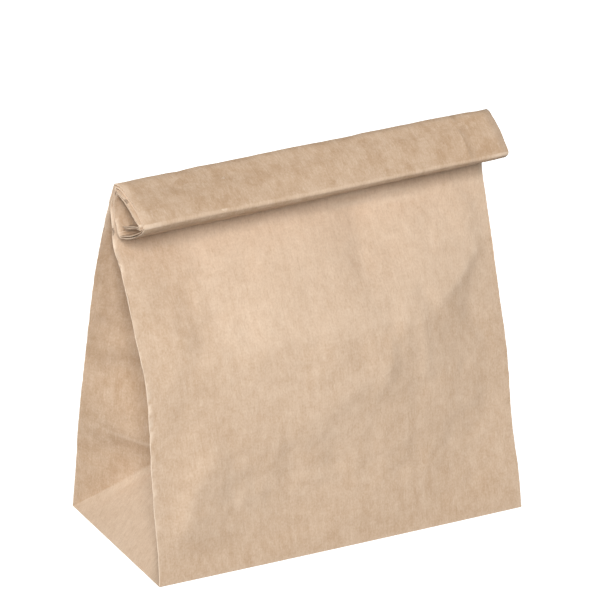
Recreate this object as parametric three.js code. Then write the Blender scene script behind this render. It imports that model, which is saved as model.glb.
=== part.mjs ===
// A kraft paper lunch bag with a block bottom and gusseted sides, its top rolled forward and down.
//
// Frame: X across the front panel, Y from front to back, Z up, origin at the centre of the base.
// Lengths are in millimetres.
//
// The bag is one sheet of paper, pasted into a tube and folded, and its rolled top closes it. So it is
// one closed solid with the bag's outer form. The solid is a loft of rings. Each ring goes once round
// the tube: front panel, right gusset, back panel, left gusset. The first rings climb the body. The rest
// follow the flattened top round the three folds of the roll, where front and back lie on each other.
import * as THREE from 'three';
import { mergeVertices } from 'three/addons/utils/BufferGeometryUtils.js';

// Body
const WIDTH = 150;             // of the front and back panels
const DEPTH = 80;              // of the base, at the middle of its long edges
const FOOT_BOW = 0.4;          // how far those edges bow out between the base's corners
const CORNER = DEPTH / 2 - FOOT_BOW;  // from the base's centre line to its corners
const STACK = 1.1;             // thickness of the flattened top: four sheets and the air between them
const WAIST = 0.9;             // how far each side edge draws in at mid height
const CROWN = 3;               // how far the panels bow out at mid height

// Where each panel's side edges end, at the foot of the roll, as [y, z], and how late they curve in
const FRONT_LEFT = { top: [-4.2, 120], power: 1.95 };
const FRONT_RIGHT = { top: [-3.3, 126], power: 1.48 };
const BACK = { top: [-2.6, 130], power: 1.42 };

// Gusset: the flat triangle at its foot leans in to a point, where the centre fold starts
const POINT_SHARE = 0.245;     // of the body's height, where the triangle's point is
const POINT_INSET = 25.8;      // of the triangle's point from the side edges
const FOLD_INSET = 39.5;       // of the centre fold at its top
const FOLD_RADIUS = 0.3;       // half the width of the centre fold

// Roll: the corners of the flattened top's centre line, as [y, z], at each end of the bag
const ROLL_LEFT = [
  [-4.2, 133.5], [-6.5, 138.6],
  [-27, 126], [-7.5, 120.5], [-8.2, 135],
  [-22, 126.7], [-11, 124],
];
const ROLL_RIGHT = [
  [-4.6, 137], [-8.9, 147.9],
  [-22.1, 133.9], [-6.5, 129.5], [-9.9, 143.6],
  [-18.5, 134.8], [-9.5, 132.6],
];
const BEND = 2.2;              // how far before a corner its bend starts

// Steps of the loft
const ACROSS = 8;              // facets across each panel
const FOOT_RINGS = 4;          // rings from the base to the triangle's point
const BODY_RINGS = 12;         // rings from there to the foot of the roll
const BEND_STEPS = 4;          // facets round one bend of the roll
const CLOSED_FROM = 0.985;     // share of the body's height above which the gusset is pressed shut

const KRAFT = { color: 0xd3b490, roughness: 0.85, metalness: 0 };

/** A point of a panel's side edge, as [y, z], at a share of its height. */
function edgePoint(start, edge, share) {
  const [topY, topZ] = edge.top;
  return [start + (topY - start) * share ** edge.power, topZ * share];
}

/** Points from one side edge to the other, bowed by a crown in Y. */
function panelRow(left, right, halfWidth, crown) {
  const row = [];
  for (let i = 0; i <= ACROSS; i += 1) {
    const share = i / ACROSS;
    const y = THREE.MathUtils.lerp(left[0], right[0], share) + crown * Math.sin(Math.PI * share);
    const z = THREE.MathUtils.lerp(left[1], right[1], share);
    row.push(new THREE.Vector3((2 * share - 1) * halfWidth, y, z));
  }
  return row;
}

/** The two fold points of a gusset, front one first. side is -1 on the left and 1 on the right. */
function gussetRow(front, back, share, side, halfWidth) {
  const middle = new THREE.Vector3().lerpVectors(front, back, 0.5);
  const across = back.clone().sub(front).normalize();
  const rise = share / POINT_SHARE;
  const climb = (share - POINT_SHARE) / (1 - POINT_SHARE);
  let inset = THREE.MathUtils.lerp(POINT_INSET, FOLD_INSET, climb);
  let apart = FOLD_RADIUS;
  if (rise < 1) {
    inset = POINT_INSET * rise;
    apart = THREE.MathUtils.lerp(CORNER, FOLD_RADIUS, rise);
  }
  if (share > CLOSED_FROM) {
    inset = 0;
    apart = STACK / 6;
  }
  middle.x = side * (halfWidth - inset);
  return [middle.clone().addScaledVector(across, -apart), middle.clone().addScaledVector(across, apart)];
}

/** One ring round the tube, from its front and back rows. */
function ring(front, back, share, halfWidth) {
  const right = gussetRow(front[ACROSS], back[ACROSS], share, 1, halfWidth);
  const left = gussetRow(front[0], back[0], share, -1, halfWidth);
  return [...front, ...right, ...back.toReversed(), ...left.toReversed()];
}

/** The rings of the body, from the base to the foot of the roll. */
function bodyRings() {
  const rings = [];
  for (let i = -FOOT_RINGS; i <= BODY_RINGS; i += 1) {
    const steps = i < 0 ? FOOT_RINGS / POINT_SHARE : BODY_RINGS / (1 - POINT_SHARE);
    const share = POINT_SHARE + i / steps;
    const bow = Math.sin(Math.PI * share) ** 2;
    const halfWidth = WIDTH / 2 - WAIST * bow;
    const crown = CROWN * bow + FOOT_BOW * (1 - share);
    const frontLeft = edgePoint(-CORNER, FRONT_LEFT, share);
    const frontRight = edgePoint(-CORNER, FRONT_RIGHT, share);
    const backEdge = edgePoint(CORNER, BACK, share);
    const front = panelRow(frontLeft, frontRight, halfWidth, -crown);
    const back = panelRow(backEdge, backEdge, halfWidth, crown);
    rings.push(ring(front, back, share, halfWidth));
  }
  return rings;
}

/** The centre line through the corners, with a round bend at each inner one, as points and normals. */
function foldedLine(corners) {
  const points = corners.map(([y, z]) => new THREE.Vector2(y, z));
  const line = [points[0]];
  for (let i = 1; i < points.length - 1; i += 1) {
    const into = points[i - 1].clone().sub(points[i]).setLength(BEND).add(points[i]);
    const out = points[i + 1].clone().sub(points[i]).setLength(BEND).add(points[i]);
    line.push(...new THREE.QuadraticBezierCurve(into, points[i], out).getPoints(BEND_STEPS));
  }
  line.push(points.at(-1));
  return line.map((point, i) => {
    const before = line[Math.max(i - 1, 0)];
    const after = line[Math.min(i + 1, line.length - 1)];
    const tangent = after.clone().sub(before).normalize();
    return { point, normal: new THREE.Vector2(tangent.y, -tangent.x) };
  });
}

/** The rings of the roll: the flattened top follows a folded line at each end, straight between them. */
function rollRings() {
  const left = foldedLine(ROLL_LEFT);
  const right = foldedLine(ROLL_RIGHT);
  return left.map((leftEnd, i) => {
    const face = (offset) => {
      const from = leftEnd.point.clone().addScaledVector(leftEnd.normal, offset);
      const to = right[i].point.clone().addScaledVector(right[i].normal, offset);
      return panelRow(from.toArray(), to.toArray(), WIDTH / 2, 0);
    };
    return ring(face(-STACK / 2), face(STACK / 2), 1, WIDTH / 2);
  });
}

/** Triangles between two rings, and over the first and last ring, as a closed body. */
function loft(rings) {
  const count = rings[0].length;
  const triangles = [];
  const add = (a, b, c) => triangles.push(a, b, c);
  for (let i = 0; i < rings.length - 1; i += 1) {
    for (let j = 0; j < count; j += 1) {
      const k = (j + 1) % count;
      add(rings[i][j], rings[i][k], rings[i + 1][k]);
      add(rings[i][j], rings[i + 1][k], rings[i + 1][j]);
    }
  }
  for (const [end, flip] of [[rings[0], true], [rings.at(-1), false]]) {
    capEnd(end, flip, add);
  }
  return solid(triangles);
}

/** Covers a ring with strips between its front and back rows, and with its two gusset ends. */
function capEnd(end, flip, add) {
  const face = flip ? (a, b, c) => add(a, c, b) : add;
  const back = end.slice(ACROSS + 3, 2 * ACROSS + 4).reverse();
  for (let j = 0; j < ACROSS; j += 1) {
    face(end[j], end[j + 1], back[j + 1]);
    face(end[j], back[j + 1], back[j]);
  }
  const last = end.length - 1;
  face(end[ACROSS], end[ACROSS + 1], end[ACROSS + 2]);
  face(end[ACROSS], end[ACROSS + 2], back[ACROSS]);
  face(end[0], back[0], end[last - 1]);
  face(end[0], end[last - 1], end[last]);
}

/** A geometry with shared corners, without the triangles that have no area. */
function solid(triangles) {
  const points = triangles.flatMap((point) => point.toArray());
  const loose = new THREE.BufferGeometry();
  loose.setAttribute('position', new THREE.Float32BufferAttribute(points, 3));
  const merged = mergeVertices(loose, 1e-3);
  const index = Array.from(merged.index.array);
  const kept = [];
  for (let i = 0; i < index.length; i += 3) {
    const [a, b, c] = index.slice(i, i + 3);
    if (a !== b && b !== c && c !== a) kept.push(a, b, c);
  }
  merged.setIndex(kept);
  merged.computeVertexNormals();
  return merged;
}

/** The whole bag as one mesh. */
function paperBag() {
  const geometry = loft([...bodyRings(), ...rollRings()]);
  const mesh = new THREE.Mesh(geometry, new THREE.MeshStandardMaterial(KRAFT));
  mesh.name = 'paper_bag';
  return mesh;
}

const group = new THREE.Group();
group.add(paperBag());

export default group;
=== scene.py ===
"""A brown paper lunch bag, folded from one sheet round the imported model.

The sheet is a grid. Its columns run once round the paper tube: front panel, right gusset, back panel and
left gusset. Its rows run along the paper, from the cut ends of the bottom flaps, out to the base's edges,
up the body to the neck, and on round the folds of the roll.

Frame: X across the front panel, Y from front to back, Z up, origin at the centre of the base. Sizes are in
millimetres, and the meshes are in metres.
"""

import logging
from dataclasses import dataclass, field
from enum import Enum
from typing import Any, Sequence

import bpy
import numpy as np
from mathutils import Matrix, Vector

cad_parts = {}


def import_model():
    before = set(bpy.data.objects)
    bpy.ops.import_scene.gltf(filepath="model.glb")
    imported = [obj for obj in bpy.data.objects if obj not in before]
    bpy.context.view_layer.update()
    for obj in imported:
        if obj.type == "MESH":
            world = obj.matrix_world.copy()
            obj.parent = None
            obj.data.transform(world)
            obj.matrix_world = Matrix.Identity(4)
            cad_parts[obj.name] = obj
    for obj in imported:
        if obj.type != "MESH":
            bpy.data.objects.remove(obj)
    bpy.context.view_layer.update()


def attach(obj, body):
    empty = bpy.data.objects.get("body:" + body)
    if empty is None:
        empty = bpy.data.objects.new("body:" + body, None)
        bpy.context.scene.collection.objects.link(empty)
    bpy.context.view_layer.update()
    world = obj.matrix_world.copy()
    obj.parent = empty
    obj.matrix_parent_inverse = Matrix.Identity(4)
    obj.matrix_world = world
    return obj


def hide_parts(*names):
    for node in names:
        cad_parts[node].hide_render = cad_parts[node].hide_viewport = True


Array = np.ndarray
Point = tuple[float, float]
Triple = tuple[float, float, float]
Corner = tuple[float, float, float, float]

MM = 0.001
TINY = 1e-9
SHARP_TURN = 35.0  # degrees; a sharper bend is kept tight
STRAIGHT_STEP = 2.6  # the longest step along a straight stretch
BEND_STEP = 11.0  # degrees, the largest step round a bend
QUARTERS = np.array([0.25, 0.5, 0.75])
BODY = "root"
CAD_NODE = "paper_bag"

log = logging.getLogger("paper_lunch_bag")


# --- Curves and arrays ---


def smoothstep(values: Array, low: float, high: float) -> Array:
    """Rises from 0 at low to 1 at high, as 3 t^2 - 2 t^3 of the share t between them."""
    share = np.clip((np.asarray(values, float) - low) / (high - low), 0.0, 1.0)
    return share * share * (3.0 - 2.0 * share)


def unit(vectors: Array) -> Array:
    """The vectors, each divided by its length."""
    return vectors / np.maximum(np.linalg.norm(vectors, axis=-1, keepdims=True), TINY)


def bend(start: Array, corner: Array, end: Array, t: Array) -> Array:
    """Points round a corner: (1 - t)^2 start + 2 t (1 - t) corner + t^2 end."""
    return (1 - t) ** 2 * start + 2 * t * (1 - t) * corner + t**2 * end


def between(start: Array, end: Array, shares: Array) -> Array:
    """For every row, points at shares of the way from its start to its end."""
    return start[:, None] + (end - start)[:, None] * shares[None, :, None]


def lengths_along(line: Array) -> Array:
    """The length along a line up to each of its points."""
    return np.concatenate([[0.0], np.cumsum(np.linalg.norm(np.diff(line, axis=0), axis=1))])


def bend_plan(lines: Sequence[Array], sharp_reach: float) -> tuple[list[Array], list[int], list[int]]:
    """Where matching lines leave their corners, and how many steps each stretch and bend of them needs.

    Args:
        lines: The lines' corners, the same number in each.
        sharp_reach: The most that a bend sharper than SHARP_TURN may start before its corner.

    Returns:
        Each line's reaches, the steps of the straight stretches and the steps of the bends.
    """
    reaches, straights, turns = [], [], []
    for line in lines:
        spans = np.linalg.norm(np.diff(line, axis=0), axis=1)
        along = unit(np.diff(line, axis=0))
        turn = np.degrees(np.arccos(np.clip((along[:-1] * along[1:]).sum(1), -1.0, 1.0)))
        half_way = 0.5 * np.minimum(spans[:-1], spans[1:])
        reach = np.where(turn > SHARP_TURN, np.minimum(half_way, sharp_reach), half_way)
        reaches.append(reach)
        straights.append(spans - np.append(0.0, reach) - np.append(reach, 0.0))
        turns.append(turn)
    straight = np.ceil(np.max(straights, axis=0) / STRAIGHT_STEP).astype(int)
    rounds = np.ceil(np.max(turns, axis=0) / BEND_STEP).astype(int)
    return reaches, np.maximum(straight, 1).tolist(), np.maximum(rounds, 2).tolist()


def bent_line(corners: Array, reach: Array, straight: Sequence[int], rounds: Sequence[int]) -> Array:
    """Points along a line through corners, with a round bend at each inner one.

    Args:
        corners: The corners, one per row, as y, z and any values that change along with them.
        reach: How far before and after each inner corner its bend starts and ends.
        straight: Steps along each straight stretch.
        rounds: Steps round each bend.

    Returns:
        The points, one per row, from the first corner to the last.
    """
    steps_between = np.diff(corners, axis=0)
    along = steps_between / np.linalg.norm(steps_between[:, :2], axis=1)[:, None]
    before = corners[1:-1] - along[:-1] * reach[:, None]
    after = corners[1:-1] + along[1:] * reach[:, None]
    starts = np.vstack([corners[:1], after])
    ends = np.vstack([before, corners[-1:]])
    pieces = []
    for i, steps in enumerate(straight):
        share = np.linspace(0.0, 1.0, steps, endpoint=False)[:, None]
        pieces.append(starts[i] + (ends[i] - starts[i]) * share)
        if i < len(before):
            t = np.linspace(0.0, 1.0, rounds[i], endpoint=False)[:, None]
            pieces.append(bend(before[i], corners[i + 1], after[i], t))
    pieces.append(corners[-1:])
    return np.vstack(pieces)


def smooth_line(knots: Array, shares: Array) -> Array:
    """Points at shares of the length of a smooth line drawn near its knots.

    Args:
        knots: The knots, one per row. The line bends round each inner one.
        shares: Shares of the line's length, from 0 to 1.

    Returns:
        One point per share.
    """
    reaches, _, _ = bend_plan([knots], 40.0)
    line = bent_line(knots, reaches[0], [12] * (len(knots) - 1), [24] * (len(knots) - 2))
    length = lengths_along(line)
    return np.stack([np.interp(shares * length[-1], length, axis) for axis in line.T], axis=1)


def distance_to_line(x: Array, z: Array, points: Sequence[Point]) -> tuple[Array, Array]:
    """Signed distance from places on a panel to a line drawn on it, and the share along the line.

    The nearest stretch counts. The sign is positive on the left of the line's direction.

    Args:
        x: Places across the panel.
        z: Places up the panel.
        points: The line's points, as (x, z).

    Returns:
        The signed distances, and the shares along the line.
    """
    best = np.full(np.shape(x), np.inf)
    signed = np.zeros(np.shape(x))
    share = np.zeros(np.shape(x))
    for i, ((ax, az), (bx, bz)) in enumerate(zip(points[:-1], points[1:])):
        span = np.hypot(bx - ax, bz - az)
        ux, uz = (bx - ax) / span, (bz - az) / span
        t = np.clip(((x - ax) * ux + (z - az) * uz) / span, 0.0, 1.0)
        dx, dz = x - ax - t * span * ux, z - az - t * span * uz
        gap = np.hypot(dx, dz)
        nearer = gap < best
        best = np.where(nearer, gap, best)
        signed = np.where(nearer, np.where(dz * ux - dx * uz >= 0.0, gap, -gap), signed)
        share = np.where(nearer, (i + t) / (len(points) - 1), share)
    return signed, share


# --- Marks that folding and handling leave in the paper ---


@dataclass(frozen=True)
class Crease:
    """A soft crease on a panel: a ridge with a slope on each side, which fades towards its ends."""

    line: tuple[Point, ...]
    height: float
    left: float
    right: float
    tip: float = 1.5
    fade: Point = (0.2, 0.2)

    def lift(self, x: Array, z: Array) -> Array:
        """How far the crease stands out: height times exp(-(sqrt(d^2 + tip^2) - tip) / slope width)."""
        gap, share = distance_to_line(x, z, self.line)
        width = np.where(gap > 0.0, self.left, self.right)
        ends = smoothstep(share, -0.01, self.fade[0]) * smoothstep(1.0 - share, -0.01, self.fade[1])
        return self.height * ends * np.exp(-(np.sqrt(gap**2 + self.tip**2) - self.tip) / width)


@dataclass(frozen=True)
class Swell:
    """A soft hollow or swelling on a panel, with an oval outline."""

    at: Point
    size: Point
    height: float
    turn: float = 0.0

    def lift(self, x: Array, z: Array) -> Array:
        """How far it stands out: height times exp of minus half the squared distance in its own sizes."""
        cos, sin = np.cos(np.radians(self.turn)), np.sin(np.radians(self.turn))
        across = ((x - self.at[0]) * cos + (z - self.at[1]) * sin) / self.size[0]
        along = ((z - self.at[1]) * cos - (x - self.at[0]) * sin) / self.size[1]
        return self.height * np.exp(-0.5 * (across**2 + along**2))


@dataclass(frozen=True)
class Ripple:
    """Small waves all over the paper: a sum of sines whose directions and phases are drawn once."""

    seed: int
    shortest: float
    longest: float
    height: float
    sharp: float = 0.0
    waves: int = 12

    def lift(self, x: Array, z: Array) -> Array:
        """The waves' mean n, with longer waves higher, and a share of 0.6 - |n|, whose ridges are sharp."""
        draw = np.random.default_rng(self.seed)
        length = np.geomspace(self.shortest, self.longest, self.waves)
        angle = draw.uniform(0.0, np.pi, self.waves)
        phase = draw.uniform(0.0, 2.0 * np.pi, self.waves)
        total = np.zeros(np.shape(x))
        for size, turn, start in zip(length, angle, phase):
            wave = (x * np.cos(turn) + z * np.sin(turn)) * 2.0 * np.pi / size + start
            total += np.sin(wave + 0.9 * np.sin(wave * 0.37)) * size / self.longest
        mean = total / np.sqrt(self.waves) * 2.2
        return self.height * ((1.0 - self.sharp) * mean + self.sharp * (0.6 - np.abs(mean)))


@dataclass(frozen=True)
class Drift:
    """A slow, smooth shift of the whole bag, so that layers that lie on each other move together."""

    seed: int = 7
    shortest: float = 24.0
    longest: float = 70.0
    size: float = 0.3
    waves: int = 9

    def shift(self, points: Array) -> Array:
        """A sum of vectors times sin(k . p + phase), with their directions and phases drawn once."""
        draw = np.random.default_rng(self.seed)
        total = np.zeros(points.shape)
        for length in np.geomspace(self.shortest, self.longest, self.waves):
            wave = unit(draw.normal(size=3)) * 2.0 * np.pi / length
            push = unit(draw.normal(size=3)) * length / self.longest
            total += np.sin(points @ wave + draw.uniform(0.0, 2.0 * np.pi))[..., None] * push
        return self.size * total


# --- The folded tube ---


class Side(Enum):
    """An end of the bag, with the sign of its X."""

    LEFT = -1
    RIGHT = 1


class Panel(Enum):
    """The parts of the tube, in the order in which the columns go round it."""

    FRONT = 0
    RIGHT_GUSSET = 1
    BACK = 2
    LEFT_GUSSET = 3


@dataclass(frozen=True)
class Roll:
    """The flattened top's centre line at each end, from the neck to the cut mouth.

    Each corner gives y, z, half the stack's thickness, and how far the stack stops short of the bag's end,
    because its layers slid when they were rolled.
    """

    left: tuple[Corner, ...] = (
        (-2.0, 130.5, 0.85, 0.0), (-4.2, 135.2, 0.75, 0.0), (-6.2, 138.7, 0.75, 0.2),
        (-8.6, 138.5, 0.65, 0.9), (-20.2, 134.1, 0.6, 1.2), (-25.0, 131.9, 0.5, 1.2),
        (-28.3, 129.9, 0.4, 1.2), (-28.5, 129.2, 0.4, 1.1), (-26.9, 127.2, 0.4, 1.0),
        (-18.2, 123.0, 0.6, 0.8), (-9.6, 121.0, 0.55, 0.8), (-7.8, 121.8, 0.5, 0.6),
        (-4.5, 128.2, 0.5, 0.4), (-5.1, 133.8, 0.5, 0.3), (-7.3, 137.1, 0.5, 0.1),
        (-14.9, 135.2, 0.5, 0.0), (-24.2, 130.8, 0.45, 0.0), (-26.6, 129.6, 0.4, 0.2),
        (-26.2, 128.2, 0.4, 0.5), (-23.0, 127.9, 0.45, 0.9), (-11.6, 124.9, 0.45, 1.0),
    )
    right: tuple[Corner, ...] = (
        (-2.6, 135.0, 0.85, 0.0), (-5.7, 142.6, 0.75, 0.0), (-7.6, 146.6, 0.75, 0.3),
        (-9.6, 146.4, 0.65, 0.3), (-16.6, 141.0, 0.6, 0.2), (-20.8, 136.7, 0.5, 0.3),
        (-23.0, 134.6, 0.4, 0.5), (-23.1, 134.1, 0.4, 0.7), (-21.7, 132.7, 0.4, 0.9),
        (-15.4, 130.8, 0.6, 0.5), (-8.2, 129.3, 0.55, 0.6), (-6.6, 130.2, 0.5, 0.8),
        (-6.3, 135.6, 0.5, 0.8), (-7.9, 141.6, 0.5, 0.8), (-10.1, 144.4, 0.5, 1.0),
        (-14.6, 140.6, 0.5, 1.2), (-19.2, 136.0, 0.5, 1.2), (-20.4, 134.9, 0.45, 1.2),
        (-19.9, 133.7, 0.45, 1.2), (-17.8, 133.5, 0.45, 1.2), (-9.6, 132.2, 0.45, 1.2),
    )
    sharp_reach: float = 0.35
    slide: float = 0.25

    def lines(self) -> dict[Side, Array]:
        """The centre line at each end, with matching rows: y, z, half thickness and shortfall."""
        ends = [np.array(self.left), np.array(self.right)]
        reaches, straight, rounds = bend_plan([end[:, :2] for end in ends], self.sharp_reach)
        lines = (bent_line(end, reach, straight, rounds) for end, reach in zip(ends, reaches))
        return dict(zip(Side, lines))


@dataclass(frozen=True)
class SideLines:
    """The lines that fold one side of the bag, with a point for each row from the base to the mouth."""

    front: Array
    back: Array
    valley: Array
    valley_front: Array
    valley_back: Array
    normal: Array
    spread: Array
    reach: Array


@dataclass(frozen=True)
class Sheet:
    """A grid of points with paper coordinates: across the tube, and along the paper."""

    points: Array
    across: Array
    along: Array
    panels: dict[Panel, slice]

    def from_edge_fold(self, panel: Panel, leaf: float) -> Array:
        """How far a gusset's points are from the nearer side edge, along paper leaves of a width."""
        across = self.across[:, self.panels[panel]]
        place = across - across.min()
        return np.minimum(place, 2.0 * leaf - place)


@dataclass(frozen=True)
class Tube:
    """The paper tube of the body and the roll, as lines and columns of points."""

    width: float = 150.0
    corner: float = 39.6
    foot_bow: float = 0.4
    leaf: float = 40.0
    waist: float = 0.25
    crown: float = 2.4
    leaf_bulge: float = 0.8
    point_height: float = 40.0
    point_inset: float = 25.8
    point_z: float = 30.7
    fold_inset: float = 39.5
    fold_reach: float = 0.5
    stack_reach: float = 0.3
    foot_reach: float = 0.45
    foot_gap: float = 0.6
    lower_rows: int = 30
    upper_rows: int = 62
    front_columns: int = 92
    back_columns: int = 40
    leaf_columns: int = 18
    valley_columns: int = 7
    seam_inset: float = 16.0
    lap: float = 18.0
    seam_step: float = 0.04
    seam_gap: float = 0.0003
    roll: Roll = field(default_factory=Roll)
    front_left: tuple[Point, ...] = (
        (-37.3, 28.4), (-34.4, 46.0), (-29.6, 74.0), (-25.0, 84.0),
        (-18.4, 100.5), (-11.6, 110.9), (-4.6, 116.4), (-3.9, 123.5),
    )
    front_right: tuple[Point, ...] = (
        (-37.5, 12.0), (-30.6, 40.4), (-23.1, 69.8), (-15.0, 98.9), (-8.9, 113.4), (-4.1, 124.0),
    )
    back: tuple[Point, ...] = (
        (33.4, 30.0), (27.4, 53.0), (22.0, 72.6), (15.6, 90.0), (8.7, 107.2), (3.4, 120.8),
    )

    def front_knots(self, side: Side) -> tuple[Point, ...]:
        """The inner knots of the front panel's edge at one end."""
        return self.front_left if side is Side.LEFT else self.front_right

    def neck_height(self) -> float:
        """The paper's height at the neck: the mean length of the lines along the front edges."""
        lines = self.roll.lines()
        total = 0.0
        for side in Side:
            knots = [(-self.corner, 0.0), *self.front_knots(side), tuple(lines[side][0, :2])]
            total += 0.5 * lengths_along(np.array(knots))[-1]
        return total

    def body_heights(self) -> Array:
        """Paper heights of the body's rows: the base's edge, a bend's reach up, and on to the neck."""
        lower = np.linspace(self.foot_reach, self.point_height, self.lower_rows)
        upper = np.linspace(self.point_height, self.neck_height(), self.upper_rows)
        return np.concatenate([[0.0], lower, upper[1:-1]])

    def heights(self) -> Array:
        """Paper heights of all rows from the base's edge to the mouth."""
        lines = self.roll.lines()
        middle = 0.5 * (lines[Side.LEFT] + lines[Side.RIGHT])[:, :2]
        return np.concatenate([self.body_heights(), self.neck_height() + lengths_along(middle)])

    def edge(self, knots: Sequence[Point], foot: float, top: Array, side: Side) -> Array:
        """Points of one side edge of the body.

        The edge runs from the base's corner through its knots to the neck. It draws in by the waist times
        sin^2 of pi times the share of its height.

        Args:
            knots: The edge's inner knots, as (y, z).
            foot: Where it stands on the floor, in y.
            top: Its end at the neck.
            side: The end of the bag.

        Returns:
            One point per row of the body.
        """
        shares = self.body_heights() / self.neck_height()
        line = smooth_line(np.array([(foot, 0.0), *knots, tuple(top[1:])]), shares)
        x = side.value * (self.width / 2 - self.waist * np.sin(np.pi * shares) ** 2)
        return np.column_stack([x, line])

    def stack(self, side: Side) -> tuple[Array, Array, Array, Array]:
        """The edge folds, normals and layer spacing of the flattened top at one end.

        The two folds lie two thirds of the half thickness before and behind the centre line.

        Args:
            side: The end of the bag.

        Returns:
            The front fold, the back fold, the normal from front to back, and a third of the half thickness.
        """
        line = self.roll.lines()[side]
        tangent = unit(np.gradient(line[:, :2], axis=0))
        normal = np.column_stack([np.zeros(len(line)), tangent[:, 1], -tangent[:, 0]])
        half, short = line[:, 2], line[:, 3]
        centre = np.column_stack([side.value * (self.width / 2 - short), line[:, :2]])
        front = centre - normal * (2.0 / 3.0) * half[:, None]
        back = centre + normal * (2.0 / 3.0) * half[:, None]
        back[:, 0] -= side.value * self.roll.slide * np.clip(short, 0.0, 1.0)
        return front, back, normal, half / 3.0

    def side_lines(self, side: Side) -> SideLines:
        """The lines that fold one side of the bag.

        Below the gusset's point the valley is a flat triangle between two creases that run from the base's
        corners to the point. Above it, it is the straight fold between the gusset's leaves.

        Args:
            side: The end of the bag.

        Returns:
            The side's lines.
        """
        heights = self.body_heights()
        pressed = smoothstep(heights / self.neck_height(), 0.8, 1.0)
        stack_front, stack_back, stack_normal, stack_spread = self.stack(side)
        front = self.edge(self.front_knots(side), -self.corner, stack_front[0], side)
        back = self.edge(self.back, self.corner, stack_back[0], side)
        normal = np.vstack([unit((back - front) * [0.0, 1.0, 1.0]), stack_normal])
        spread = np.concatenate([stack_spread[0] * pressed, stack_spread])[:, None]
        reach = self.fold_reach + (self.stack_reach - self.fold_reach) * pressed
        reach = np.concatenate([reach, np.full(len(stack_front), self.stack_reach)])[:, None]
        share = self.fold_inset / self.width
        here, there = (self.roll.lines()[end] for end in (side, Side(-side.value)))
        x = np.full(len(here), side.value * (self.width / 2 - self.fold_inset))
        top = np.column_stack([x, (here + (there - here) * share)[:, :2]])
        point = np.array([side.value * (self.width / 2 - self.point_inset), 0.0, self.point_z])
        climb = np.clip((heights - self.point_height) / (self.neck_height() - self.point_height), 0.0, 1.0)
        valley = np.vstack([point + (top[0] - point) * climb[:, None], top])
        front = np.vstack([front, stack_front])
        back = np.vstack([back, stack_back])
        valley_front = valley + unit(front - valley) * reach - normal * spread
        valley_back = valley + unit(back - valley) * reach + normal * spread
        low = heights < self.point_height
        at_point = int(low.sum())
        rise = (heights[low] / self.point_height)[:, None]
        near = np.array([0.0, self.foot_gap, 0.0])
        for line, start in ((valley_front, front[0] + near), (valley_back, back[0] - near)):
            line[:at_point] = start + (line[at_point] - start) * rise
        valley[:at_point] = 0.5 * (valley_front + valley_back)[:at_point]
        reach = np.minimum(reach, 0.3 * np.linalg.norm(valley_front - front, axis=1)[:, None])
        return SideLines(front, back, valley, valley_front, valley_back, normal, spread, reach)

    def gusset(self, side: Side, lines: SideLines, ends: tuple[Array, Array]) -> tuple[Array, Array]:
        """The columns of one gusset, from its front fold to its back fold.

        Args:
            side: The end of the bag.
            lines: The side's lines.
            ends: Where the front and back panels end beside it.

        Returns:
            The columns' points, and their places across the paper from the front fold.
        """
        heights = self.heights()
        step = QUARTERS[:, None]
        share = np.linspace(0.0, 1.0, self.leaf_columns)
        inner = np.linspace(0.0, 1.0, self.valley_columns + 2)[1:-1]
        offset = lines.normal * lines.spread
        front_end = lines.front + unit(lines.valley_front - lines.front) * lines.reach + offset
        back_end = lines.back + unit(lines.valley_back - lines.back) * lines.reach - offset
        front_fold = bend(ends[0][:, None], lines.front[:, None], front_end[:, None], step)
        back_fold = bend(back_end[:, None], lines.back[:, None], ends[1][:, None], step)
        fold = (lines.valley_front[:, None], lines.valley[:, None], lines.valley_back[:, None])
        valley = bend(*fold, inner[:, None])
        full_bulge = smoothstep(heights, 4.0, 44.0) * (1.0 - smoothstep(heights, 88.0, 126.0))
        push = side.value * self.leaf_bulge * full_bulge[:, None] * np.sin(np.pi * share)
        front_leaf = between(front_end, lines.valley_front, share)
        back_leaf = between(lines.valley_back, back_end, share)
        for leaf in (front_leaf, back_leaf):
            leaf[..., 0] += push
        points = np.concatenate([front_fold, front_leaf, valley, back_leaf, back_fold], axis=1)
        wide = np.clip(heights, 0.6, self.leaf)[:, None]
        zero = np.zeros((len(heights), 3))
        full = 2.0 * self.leaf
        middle = wide + (full - 2.0 * wide) * inner
        across = [zero, wide * share, middle, full - wide + wide * share, zero + full]
        return points, np.hstack(across)

    def panel(self, left: Array, right: Array, shares: Array, outward: float) -> Array:
        """A panel's rows: straight from edge to edge, and bowed by sin of pi times the share across.

        Args:
            left: Where the rows start, at the smaller x.
            right: Where they end.
            shares: Shares of the way across.
            outward: -1 for the front panel and 1 for the back panel.

        Returns:
            The rows' points.
        """
        rise = np.clip(self.heights() / self.neck_height(), 0.0, 1.0)
        bow = self.crown * np.sin(np.pi * rise) ** 2 + self.foot_bow * (1.0 - rise)
        rows = between(left, right, shares)
        rows[..., 1] += outward * bow[:, None] * np.sin(np.pi * shares)
        return rows

    def back_shares(self) -> Array:
        """Shares across the back panel from its right edge, with two columns close together at the seam."""
        seam = self.seam_inset / self.width
        even = np.linspace(0.0, 1.0, self.back_columns - 2)
        return np.sort(np.concatenate([even, [seam - self.seam_gap, seam + self.seam_gap]]))

    def seam_lift(self, shares: Array) -> Array:
        """How far the pasted lap raises the back panel: up at the seam, and slowly down past the lap."""
        place = shares * self.width - self.seam_inset
        return self.seam_step * (place > 0.0) * (1.0 - smoothstep(place, self.lap - 2.0, self.lap + 6.0))

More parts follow.
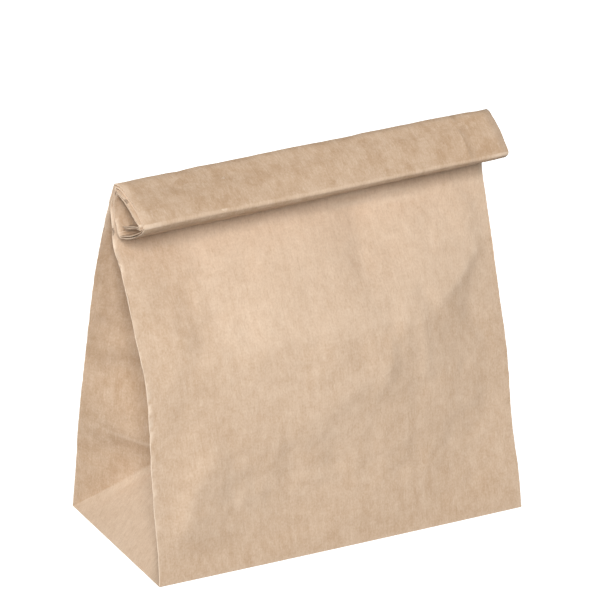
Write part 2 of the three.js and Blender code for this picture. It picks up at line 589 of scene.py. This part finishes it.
    def build(self) -> Sheet:
        """The tube's grid, from the base's edge to the mouth."""
        lines = {side: self.side_lines(side) for side in Side}
        left, right = lines[Side.LEFT], lines[Side.RIGHT]
        ends = {}
        for near, far, side in ((left, right, Side.LEFT), (right, left, Side.RIGHT)):
            offset = near.normal * near.spread
            front = near.front + unit(far.front - near.front) * near.reach - offset
            back = near.back + unit(far.back - near.back) * near.reach + offset
            ends[side] = (front, back)
        front_shares = np.linspace(0.0, 1.0, self.front_columns)
        back_shares = self.back_shares()
        front = self.panel(ends[Side.LEFT][0], ends[Side.RIGHT][0], front_shares, -1.0)
        back = self.panel(ends[Side.RIGHT][1], ends[Side.LEFT][1], back_shares, 1.0)
        back += right.normal[:, None] * self.seam_lift(back_shares)[None, :, None]
        right_gusset, right_across = self.gusset(Side.RIGHT, right, ends[Side.RIGHT])
        left_gusset, left_across = self.gusset(Side.LEFT, left, ends[Side.LEFT])
        parts = [front, right_gusset, back, left_gusset[:, ::-1]]
        points = np.concatenate(parts, axis=1)
        rows = len(points)
        gusset = 2.0 * self.leaf
        across = np.hstack([
            np.tile(front_shares * self.width, (rows, 1)),
            self.width + right_across,
            self.width + gusset + np.tile(back_shares * self.width, (rows, 1)),
            2.0 * self.width + 2.0 * gusset - left_across[:, ::-1],
        ])
        stops = np.cumsum([part.shape[1] for part in parts])
        starts = np.append(0, stops[:-1])
        panels = {panel: slice(int(a), int(b)) for panel, a, b in zip(Panel, starts, stops)}
        along = np.tile(self.heights()[:, None], (1, points.shape[1]))
        return Sheet(points, across, along, panels)


@dataclass(frozen=True)
class Bottom:
    """The pasted bottom: side triangles, the back flap over them and the front flap over both."""

    lap: float = 50.0
    apex: float = 35.0
    end_half_width: float = 25.0
    back_lift: float = 0.2
    triangle_lift: float = 0.42
    rows: int = 10

    def cut_ends(self, edge: Array, panels: dict[Panel, slice], corner: float) -> tuple[Array, Array]:
        """Where each column of the bottom ends, and how high it lies there.

        The flaps narrow by 45 degrees at each side. The triangles run to a point at half the depth, and the
        gussets' leaves lie folded in the line between flap and triangle.

        Args:
            edge: The points of the base's edge, one per column.
            panels: Which columns are which panel's.
            corner: From the base's centre line to its corners.

        Returns:
            The end points, and their heights.
        """
        share = self.end_half_width / np.abs(edge[0, 0])
        overlap = self.lap - corner
        ends = edge * [share, 0.0, 0.0]
        lift = np.zeros(len(edge))
        ends[panels[Panel.FRONT], 1] = overlap
        ends[panels[Panel.BACK], 1] = -overlap
        lift[panels[Panel.BACK]] = self.back_lift
        for panel, sign in ((Panel.RIGHT_GUSSET, 1.0), (Panel.LEFT_GUSSET, -1.0)):
            columns = panels[panel]
            count = columns.stop - columns.start
            way = np.linspace(-1.0, 1.0, count) * sign
            inner = 1.0 - smoothstep(np.abs(way), 0.35, 0.95)
            front = way < 0.0
            flap_y = np.where(front, overlap, -overlap)
            flap_lift = np.where(front, 0.0, self.back_lift)
            ends[columns, 0] = sign * (self.end_half_width + (self.apex - self.end_half_width) * inner)
            ends[columns, 1] = flap_y * (1.0 - inner) + 0.8 * way * inner
            lift[columns] = flap_lift + (self.triangle_lift - flap_lift) * inner
        return ends, lift

    def build(self, tube: Sheet, reach: float, corner: float) -> Sheet:
        """The whole sheet: the tube with its bottom folded under.

        Args:
            tube: The tube's grid.
            reach: How far before the base's edge its bend starts.
            corner: From the base's centre line to its corners.

        Returns:
            The grid from the flaps' cut ends to the mouth.
        """
        edge, wall = tube.points[0], tube.points[1]
        ends, lift = self.cut_ends(edge, tube.panels, corner)
        way = np.append(np.linspace(1.0, 0.06, self.rows), reach / self.lap)[:, None, None]
        under = edge + (ends - edge) * way
        under[..., 2] = lift * smoothstep(way[..., 0] * self.lap, 1.0, 9.0)
        t = QUARTERS[:, None, None]
        turned = bend(under[-1], edge, wall, t)
        points = np.concatenate([under, turned, tube.points[1:]])
        down = -way[:, 0, 0] * self.lap
        along = np.concatenate([down, [-0.2, 0.0, 0.2], tube.along[1:, 0]])
        across = np.vstack([np.tile(tube.across[0], (len(down) + 3, 1)), tube.across[1:]])
        return Sheet(points, across, np.tile(along[:, None], (1, points.shape[1])), tube.panels)


# --- Handling marks, painted shade and the mesh ---


@dataclass(frozen=True)
class Marks:
    """What folding flat, filling and rolling have left in the sheet.

    waist and left_hollow bound the front's brighter part; outside it the front's colour gets painted shade.
    leaf_swells are bands on the gussets: height, half width and lift. They rise by leaf_slant from a side
    edge to the centre fold.
    """

    front: tuple[Crease | Swell, ...] = (
        Crease(((-56, 82), (-5, 77.5), (41, 79.5), (64, 82)), 4.6, 34.0, 30.0, 1.8, (0.45, 0.45)),
        Crease(((36, 76), (56, 88), (76, 105)), 2.5, 18.0, 4.5, 0.8, (0.55, 0.05)),
        Crease(((20, 122), (19, 104), (17, 84)), -3.4, 22.0, 12.0, 0.8, (0.1, 0.55)),
        Crease(((-47, 118), (-46, 98), (-40, 82)), -1.7, 20.0, 20.0, 1.6, (0.1, 0.3)),
        Crease(((-76, 95), (-62, 88), (-50, 79)), 2.0, 6.0, 9.0, 1.0, (0.05, 0.3)),
        Crease(((26, 68), (8, 59), (-9, 51), (-38, 41)), 1.5, 8.0, 12.0, 2.0, (0.15, 0.6)),
        Crease(((-46, 48), (-58, 36), (-70, 8)), 2.8, 24.0, 7.0, 1.0, (0.3, 0.3)),
        Crease(((37.2, 84), (37.0, 70), (36.6, 54)), 0.7, 2.8, 2.2, 0.5),
        Crease(((28.6, 80), (28.8, 62)), 0.4, 2.8, 2.4, 0.6),
        Crease(((22.5, 77), (21.5, 66), (14, 50)), 0.9, 5.0, 4.0, 0.8),
        Crease(((-44, 25.5), (-30, 28)), 0.6, 2.5, 2.5, 0.6),
        Swell((-34, 20), (22, 12), -1.8),
        Swell((48, 26), (13, 12), -1.2, 30.0),
    )
    back: tuple[Crease | Swell, ...] = (
        Crease(((-78, 39), (0, 40.5), (78, 39.5)), -0.8, 5.0, 7.0, 0.9, (0.0, 0.0)),
        Crease(((-20, 118), (-12, 92), (6, 74), (40, 66)), 0.9, 14.0, 9.0, 1.4),
        Crease(((60, 112), (44, 92), (22, 84)), 0.7, 8.0, 10.0, 1.2),
        Crease(((-70, 84), (-46, 72), (-30, 56)), -0.7, 8.0, 8.0, 1.2),
        Swell((34, 24), (18, 9), -0.6),
    )
    waist: tuple[Point, ...] = ((-76, 78), (-45, 78), (20, 78), (41, 80), (56, 88), (78, 106))
    left_hollow: tuple[Point, ...] = ((-55, 124), (-49, 104), (-43, 78), (-43, 60))
    leaf_swells: tuple[Triple, ...] = (
        (35.0, 8.0, 0.8), (67.0, 4.5, 0.7), (92.0, 9.0, 0.8),
        (24.0, 4.0, -0.6), (57.0, 4.0, -0.5), (79.0, 4.0, -0.6),
    )
    leaf_slant: float = 10.0
    drift: Drift = Drift()
    crumple: Ripple = Ripple(11, 7.0, 40.0, 0.4, 0.5)
    dimples: Ripple = Ripple(23, 3.4, 9.0, 0.07, 0.3)

    @staticmethod
    def total(marks: Sequence[Crease | Swell], x: Array, z: Array) -> Array:
        """The sum of the marks' lifts."""
        return sum((mark.lift(x, z) for mark in marks), np.zeros(x.shape))

    def front_shade_zones(self, x: Array, z: Array) -> Array:
        """Painted shade on the front's colour: darker below its waist, left of its hollow, and most at its
        foot.
        """
        above_waist, _ = distance_to_line(x, z, self.waist)
        right_of_hollow, _ = distance_to_line(x, z, self.left_hollow)
        bright = smoothstep(above_waist, -5.0, 4.0) * smoothstep(right_of_hollow, -5.0, 5.0)
        return 1.0 - bright + 0.6 * (1.0 - smoothstep(z, 0.0, 30.0))

    def gusset(self, points: Array, way: Array) -> Array:
        """Soft swellings across a gusset's leaves.

        Args:
            points: The gusset's points.
            way: Shares of the way in from the side edges to the centre fold.

        Returns:
            How far each point stands out.
        """
        z = points[..., 2] - self.leaf_slant * way
        total = sum(high * np.exp(-0.5 * ((z - at) / wide) ** 2) for at, wide, high in self.leaf_swells)
        return total * np.sin(np.pi * np.clip(way, 0.0, 1.0)) ** 0.5

    def press(self, sheet: Sheet, tube: Tube) -> Array:
        """The sheet's points with all marks pressed in.

        Args:
            sheet: The sheet as folded.
            tube: The tube that it was folded from.

        Returns:
            The new points.
        """
        neck = tube.neck_height()
        points = sheet.points.copy()
        x, z = points[..., 0], points[..., 2]
        outward = grid_normals(points)
        body = smoothstep(sheet.along, 2.0, 12.0) * (1.0 - smoothstep(sheet.along, neck - 14.0, neck - 2.0))
        lift = np.zeros(x.shape)
        side = smoothstep(tube.width / 2 - np.abs(x), 0.5, 15.0)
        front, back = sheet.panels[Panel.FRONT], sheet.panels[Panel.BACK]
        lift[:, front] = (self.total(self.front, x, z) * side * body)[:, front]
        lift[:, back] = (self.total(self.back, x, z) * side * body)[:, back]
        for panel in (Panel.RIGHT_GUSSET, Panel.LEFT_GUSSET):
            columns = sheet.panels[panel]
            way = sheet.from_edge_fold(panel, tube.leaf) / tube.leaf
            lift[:, columns] = self.gusset(points[:, columns], way) * body[:, columns]
        standing = smoothstep(sheet.along, 3.0, 22.0)
        loose = standing * (1.0 - 0.75 * smoothstep(sheet.along, neck - 6.0, neck + 2.0))
        lift += self.crumple.lift(x, z + 0.8 * points[..., 1]) * loose * (0.35 + 0.65 * side)
        lift += self.dimples.lift(sheet.across, sheet.along) * standing
        points += outward * lift[..., None]
        points += self.drift.shift(sheet.points) * smoothstep(sheet.along, 0.0, 30.0)[..., None]
        points[..., 2] = np.maximum(points[..., 2], 0.0)
        return points


def grid_normals(points: Array) -> Array:
    """Unit normals of a grid whose columns close into a loop: along the row crossed with up the column."""
    ahead = np.roll(points, -1, axis=1) - np.roll(points, 1, axis=1)
    return unit(np.cross(ahead, np.gradient(points, axis=0)))


def sharpness(points: Array) -> Array:
    """How sharply a looped grid bends at each point: the turn per millimetre, the larger of both ways."""
    shortest = 0.05
    ahead = np.roll(points, -1, axis=1) - points
    step = np.linalg.norm(ahead, axis=-1)
    turn = np.linalg.norm(unit(ahead) - np.roll(unit(ahead), 1, axis=1), axis=-1)
    row_turn = turn / np.maximum(0.5 * (step + np.roll(step, 1, axis=1)), shortest)
    up = np.diff(points, axis=0)
    gap = np.linalg.norm(up, axis=-1)
    turn = np.linalg.norm(np.diff(unit(up), axis=0), axis=-1)
    column_turn = np.zeros(points.shape[:2])
    column_turn[1:-1] = turn / np.maximum(0.5 * (gap[1:] + gap[:-1]), shortest)
    return np.maximum(row_turn, column_turn)


@dataclass(frozen=True)
class PaperBag:
    """The bag's one sheet of kraft paper, from its pasted bottom to its rolled top.

    pinking is half the depth of the points cut in its mouth. The front's and gussets' values are their
    painted shade, and dark_back a plain darker tone elsewhere, each a share of the roll's.
    """

    tube: Tube = field(default_factory=Tube)
    bottom: Bottom = field(default_factory=Bottom)
    marks: Marks = field(default_factory=Marks)
    thickness: float = 0.13
    pinking: float = 0.6
    front_shade_share: float = 0.42
    gusset_shade_share: float = 0.85
    dark_back: float = 0.3

    def sheet(self) -> Sheet:
        """The folded sheet with its handling marks, and its mouth cut in small points."""
        folded = self.bottom.build(self.tube.build(), self.tube.foot_reach, self.tube.corner)
        points = self.marks.press(folded, self.tube)
        on = unit(points[-1] - points[-3])
        zigzag = np.where(np.arange(points.shape[1]) % 2 == 0, self.pinking, -self.pinking)
        points[-1] += on * zigzag[:, None]
        return Sheet(points, folded.across, folded.along, folded.panels)

    def fold_marks(self, sheet: Sheet) -> Array:
        """Where the paper is folded: its sharpness, less on the roll's soft folds and none at the seam. The
        colour is lighter there, partly as wear and partly as a painted highlight.
        """
        rolled = smoothstep(sheet.along, self.tube.neck_height() - 2.0, self.tube.neck_height() + 2.0)
        fold = np.clip(1.2 * sharpness(sheet.points) - 0.06, 0.0, 1.0) * (1.0 - 0.35 * rolled)
        back = sheet.panels[Panel.BACK]
        fold[:, back.start + 2:back.stop - 2] *= 0.3
        return fold

    def shade_levels(self, sheet: Sheet) -> Array:
        """Painted shade: how much darker and rougher the paper looks in each zone, most on the roll.

        The gussets' leaves get painted shade above the flat triangle at their foot, and the front gets it
        below its waist and left of its hollow. The rest below the roll is darker by dark_back, as a plain
        tone.

        Args:
            sheet: The folded sheet.

        Returns:
            A value for each point, 0 where the paper is palest.
        """
        neck = self.tube.neck_height()
        rolled = smoothstep(sheet.along, neck - 4.0, neck + 3.0)
        # Painted shade on the roll; dark_back is a plain darker tone elsewhere.
        painted_shade = self.dark_back + (1.0 - self.dark_back) * rolled
        front = sheet.panels[Panel.FRONT]
        front_shade_zones = self.marks.front_shade_zones(sheet.points[:, front, 0], sheet.points[:, front, 2])
        # Painted shade on the front's darker zones.
        painted_shade[:, front] = np.maximum(rolled[:, front], self.front_shade_share * front_shade_zones)
        for panel in (Panel.RIGHT_GUSSET, Panel.LEFT_GUSSET):
            leaves = sheet.panels[panel]
            above_crease = sheet.along[:, leaves] - sheet.from_edge_fold(panel, self.tube.leaf)
            above_foot = smoothstep(above_crease, -0.8, 0.8)
            # Painted shade on the gussets' leaves above their foot triangle.
            painted_shade[:, leaves] = np.maximum(rolled[:, leaves], self.gusset_shade_share * above_foot)
        return painted_shade

    def build(self, finish: bpy.types.Material) -> bpy.types.Object:
        """The bag's object, with paper coordinates as its UV map and its folds and painted shade zones as
        attributes.

        Args:
            finish: The paper's material.

        Returns:
            The finished object, with the paper's thickness inside its outer face.
        """
        sheet = self.sheet()
        rows, columns = sheet.points.shape[:2]
        mesh = grid_mesh("kraft_sheet", sheet.points * MM, columns)
        whole = 2.0 * (self.tube.width + 2.0 * self.tube.leaf)
        across = np.hstack([sheet.across, np.full((rows, 1), whole)])
        corners = quad_corners(rows - 1, columns)
        paper = [np.stack([across[r, c], sheet.along[r, c % columns]], axis=-1) for r, c in corners]
        layer = mesh.uv_layers.new(name="paper")
        layer.data.foreach_set("uv", (np.stack(paper, axis=-2) * MM).astype(np.float32).ravel())
        # The second attribute is the painted shade that darkens the colour.
        values = {"fold": self.fold_marks(sheet), "painted_shade": self.shade_levels(sheet)}
        for name, value in values.items():
            attribute = mesh.attributes.new(name, "FLOAT", "POINT")
            attribute.data.foreach_set("value", value.astype(np.float32).ravel())
        piece = add_object("kraft_sheet", mesh)
        mesh.materials.append(finish)
        wall = piece.modifiers.new("paper_thickness", "SOLIDIFY")
        wall.thickness = self.thickness * MM
        wall.offset = -1.0
        wall.use_rim = True
        return piece


def quad_corners(rows: int, columns: int) -> list[tuple[Array, Array]]:
    """The row and column of each corner of a grid's quads, anticlockwise as seen from outside."""
    row, column = np.meshgrid(np.arange(rows), np.arange(columns), indexing="ij")
    return [(row, column), (row, column + 1), (row + 1, column + 1), (row + 1, column)]


def grid_mesh(name: str, points: Array, columns: int) -> bpy.types.Mesh:
    """A smooth-shaded mesh of a grid of points.

    Args:
        name: Its name.
        points: Its vertices in metres, by row and column.
        columns: Quads in a row, one fewer than its points unless the rows close into loops.

    Returns:
        The mesh.
    """
    around = points.shape[1]
    corners = quad_corners(len(points) - 1, columns)
    quads = np.stack([row * around + column % around for row, column in corners], axis=-1)
    mesh = bpy.data.meshes.new(name)
    mesh.vertices.add(points.size // 3)
    mesh.vertices.foreach_set("co", points.astype(np.float32).ravel())
    mesh.loops.add(quads.size)
    mesh.loops.foreach_set("vertex_index", quads.astype(np.int32).ravel())
    starts = np.arange(0, quads.size, len(corners), dtype=np.int32)
    mesh.polygons.add(len(starts))
    mesh.polygons.foreach_set("loop_start", starts)
    mesh.polygons.foreach_set("use_smooth", np.ones(len(starts), bool))
    mesh.update(calc_edges=True)
    return mesh


def add_object(name: str, data: bpy.types.ID) -> bpy.types.Object:
    """Adds an object with its data to the scene."""
    added = bpy.data.objects.new(name, data)
    bpy.context.scene.collection.objects.link(added)
    return added


# --- Finishes ---


class Value:
    """A number socket, with arithmetic that adds Math nodes."""

    def __init__(self, graph: "Graph", socket: bpy.types.NodeSocket) -> None:
        """Wraps a socket of the graph."""
        self.graph = graph
        self.socket = socket

    def math(self, operation: str, *others: "Value | float", first: float | None = None) -> "Value":
        """A Math node on this value.

        Args:
            operation: The node's operation.
            others: Its further inputs.
            first: What comes before this value, where the order is reversed.

        Returns:
            The node's value.
        """
        inputs = [self, *others] if first is None else [first, self]
        socket = self.graph.add("ShaderNodeMath", {"operation": operation}, dict(enumerate(inputs)))
        return Value(self.graph, socket)

    def __add__(self, other: "Value | float") -> "Value":
        """This plus other."""
        return self.math("ADD", other)

    def __sub__(self, other: "Value | float") -> "Value":
        """This minus other."""
        return self.math("SUBTRACT", other)

    def __mul__(self, other: "Value | float") -> "Value":
        """This times other."""
        return self.math("MULTIPLY", other)

    def __rsub__(self, other: float) -> "Value":
        """Other minus this."""
        return self.math("SUBTRACT", first=other)

    __radd__ = __add__
    __rmul__ = __mul__

    def ramp(self, low: float, high: float) -> "Value":
        """0 below low, 1 above high, and smooth between them."""
        settings = {"interpolation_type": "SMOOTHSTEP"}
        inputs = {"Value": self, "From Min": low, "From Max": high, "To Min": 0.0, "To Max": 1.0}
        return Value(self.graph, self.graph.add("ShaderNodeMapRange", settings, inputs))


class Graph:
    """A material's node tree."""

    def __init__(self, name: str) -> None:
        """Makes an empty material."""
        self.material = bpy.data.materials.new(name)
        self.material.use_nodes = True
        self.tree = self.material.node_tree
        self.tree.nodes.clear()

    def add(
        self, kind: str, settings: dict[str, Any] | None = None,
        inputs: dict[str | int, Any] | None = None, output: str | int = 0,
    ) -> bpy.types.NodeSocket:
        """Adds a node.

        Args:
            kind: The node's type.
            settings: Its settings, which are set first.
            inputs: A value or a link for each named or numbered input.
            output: The output wanted.

        Returns:
            That output's socket.
        """
        node = self.tree.nodes.new(kind)
        for name, setting in (settings or {}).items():
            setattr(node, name, setting)
        for name, value in (inputs or {}).items():
            if isinstance(value, Value):
                value = value.socket
            if isinstance(value, bpy.types.NodeSocket):
                self.tree.links.new(value, node.inputs[name])
            else:
                node.inputs[name].default_value = value
        return node.outputs[output] if len(node.outputs) else None

    def noise(
        self, place: bpy.types.NodeSocket, scale: Point, detail: float, turn: float = 0.0
    ) -> Value:
        """Noise on the paper.

        Args:
            place: The paper coordinates, in metres.
            scale: Cells per metre across and along the paper.
            detail: Finer octaves.
            turn: Degrees that the pattern is turned by.

        Returns:
            The noise, about 0.5 on average.
        """
        inputs = {"Vector": place, "Rotation": (0.0, 0.0, np.radians(turn)), "Scale": (*scale, 1.0)}
        turned = self.add("ShaderNodeMapping", None, inputs)
        settings = {"noise_dimensions": "2D"}
        inputs = {"Vector": turned, "Scale": 1.0, "Detail": detail, "Roughness": 0.6}
        return Value(self, self.add("ShaderNodeTexNoise", settings, inputs, "Fac"))

    def mix(self, share: Value | float, first: Any, second: Any) -> bpy.types.NodeSocket:
        """A colour between two colours."""
        inputs = {0: share, 6: first, 7: second}
        return self.add("ShaderNodeMix", {"data_type": "RGBA"}, inputs, 2)


@dataclass(frozen=True)
class KraftPaper:
    """Uncoated brown kraft: cloudy, streaked along the machine's direction, with long fibres. Its colour
    also holds painted shade, and folds lightened partly by wear and partly by a painted highlight.
    """

    dark: Triple = (0.49, 0.325, 0.20)
    light: Triple = (0.83, 0.665, 0.515)
    dark_fibre: Triple = (0.36, 0.22, 0.125)
    light_fibre: Triple = (0.84, 0.70, 0.55)
    # Lighter colour at folds: partly wear, partly a painted highlight along the fold edges.
    wear_and_highlight: Triple = (0.80, 0.645, 0.50)

    def build(self) -> bpy.types.Material:
        """The material, on the sheet's paper coordinates, its fold attribute and its painted shade
        attribute.
        """
        graph = Graph("kraft_paper")
        place = graph.add("ShaderNodeUVMap", {"uv_map": "paper"})
        fold = Value(graph, graph.add("ShaderNodeAttribute", {"attribute_name": "fold"}, None, "Fac"))
        shade_amount = Value(graph, graph.add("ShaderNodeAttribute", {"attribute_name": "painted_shade"}, None, "Fac"))
        clouds = graph.noise(place, (330.0, 260.0), 3.0)
        patches = graph.noise(place, (34.0, 26.0), 2.0)
        streaks = graph.noise(place, (720.0, 26.0), 2.0)
        threads = graph.noise(place, (1500.0, 260.0), 1.0, 24.0)
        crossed = graph.noise(place, (1500.0, 260.0), 1.0, -31.0)
        grain = graph.noise(place, (1500.0, 1200.0), 2.0)
        dents = graph.noise(place, (150.0, 120.0), 2.0)
        tone = 0.5 + 0.4 * (clouds - 0.5) + 0.18 * (patches - 0.5)
        tone = tone + 0.15 * (streaks - 0.5) + 0.45 * (grain - 0.5)
        # Painted shade: the colour is darkened zone by zone from the sheet's attribute, mottled by dents.
        tone = tone - shade_amount * (0.21 + 0.17 * dents.ramp(0.35, 0.7))
        colour = graph.mix(tone, (*self.dark, 1.0), (*self.light, 1.0))
        colour = graph.mix(threads.ramp(0.62, 0.76) * 0.14, colour, (*self.dark_fibre, 1.0))
        colour = graph.mix(crossed.ramp(0.62, 0.76) * 0.16, colour, (*self.light_fibre, 1.0))
        # Folds lightened: partly wear, partly a painted highlight.
        colour = graph.mix(fold * (0.7 + 0.5 * grain), colour, (*self.wear_and_highlight, 1.0))
        rough = 0.8 + 0.14 * clouds - 0.05 * shade_amount
        relief = 0.5 * grain + 0.35 * threads + 0.3 * crossed + 0.9 * clouds + shade_amount * dents * 2.2
        normal = graph.add("ShaderNodeBump", None, {"Strength": 0.55, "Distance": 0.00011, "Height": relief})
        inputs = {"Base Color": colour, "Roughness": rough, "Normal": normal, "Specular IOR Level": 0.25}
        surface = graph.add("ShaderNodeBsdfPrincipled", None, inputs)
        graph.add("ShaderNodeOutputMaterial", None, {"Surface": surface})
        return graph.material


@dataclass(frozen=True)
class PaleFloor:
    """A plain pale floor, large enough to fill the view.

    It lies just below the bag and glows white, and sends the bag no diffuse light.
    """

    half_width: float = 6.0
    drop: float = 0.1
    squares: int = 8
    colour: Triple = (0.93, 0.93, 0.925)
    glow: float = 1.0

    def build(self) -> bpy.types.Object:
        """The floor's object."""
        ticks = np.linspace(-self.half_width, self.half_width, self.squares + 1)
        x, y = np.meshgrid(ticks, ticks)
        points = np.stack([x, y, np.full(x.shape, -self.drop * MM)], axis=-1)
        floor = add_object("floor", grid_mesh("floor", points, self.squares))
        graph = Graph("pale_floor")
        inputs = {"Base Color": (*self.colour, 1.0), "Roughness": 0.9, "Specular IOR Level": 0.1,
                  "Emission Color": (*self.colour, 1.0), "Emission Strength": self.glow}
        surface = graph.add("ShaderNodeBsdfPrincipled", None, inputs)
        graph.add("ShaderNodeOutputMaterial", None, {"Surface": surface})
        floor.data.materials.append(graph.material)
        floor.visible_diffuse = False
        return floor


# --- Light and camera ---


@dataclass(frozen=True)
class Softbox:
    """A square area light that faces a target."""

    name: str
    place: Triple
    target: Triple
    size: float
    power: float

    def build(self) -> bpy.types.Object:
        """The light's object."""
        lamp = bpy.data.lights.new(self.name, "AREA")
        lamp.size = self.size
        lamp.energy = self.power
        light = add_object(self.name, lamp)
        light.location = self.place
        aim = Vector(self.target) - Vector(self.place)
        light.rotation_euler = aim.to_track_quat("-Z", "Y").to_euler()
        return light


@dataclass(frozen=True)
class Studio:
    """Soft light from the front and above, an even pale surrounding, and the camera."""

    lights: tuple[Softbox, ...] = (
        Softbox("key", (-0.76, -1.45, 0.90), (0.0, -0.02, 0.11), 0.54, 30.0),
        Softbox("side", (-1.32, 0.34, 0.78), (-0.07, 0.0, 0.03), 0.5, 5.5),
        Softbox("fill", (0.3, -1.1, 0.25), (0.0, 0.0, 0.08), 0.9, 0.8),
    )
    surrounding: float = 0.24
    camera_place: Triple = (-0.41203, -0.79679, 0.40224)
    camera_turn: Triple = (70.3915, 0.0, -27.419)
    lens: float = 156.0

    def build(self) -> None:
        """Makes the lights, the surrounding and the camera."""
        scene = bpy.context.scene
        for light in self.lights:
            light.build()
        world = bpy.data.worlds.new("surrounding")
        world.use_nodes = True
        background = world.node_tree.nodes["Background"]
        background.inputs["Color"].default_value = (1.0, 1.0, 1.0, 1.0)
        background.inputs["Strength"].default_value = self.surrounding
        scene.world = world
        scene.view_settings.view_transform = "Standard"
        lens = bpy.data.cameras.new("camera")
        lens.lens = self.lens
        lens.sensor_width = 36.0
        lens.clip_start = 0.01
        camera = add_object("camera", lens)
        camera.location = self.camera_place
        camera.rotation_euler = np.radians(self.camera_turn)
        scene.camera = camera


# --- Assembly ---


def main() -> None:
    """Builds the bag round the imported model, then the floor, the lights and the camera."""
    logging.basicConfig(level=logging.INFO, format="%(name)s %(message)s")
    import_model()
    bag = PaperBag().build(KraftPaper().build())
    log.info("%s: %d points, %d quads", bag.name, len(bag.data.vertices), len(bag.data.polygons))
    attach(bag, BODY)
    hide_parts(CAD_NODE)
    PaleFloor().build()
    Studio().build()


if __name__ == "__main__":
    main()
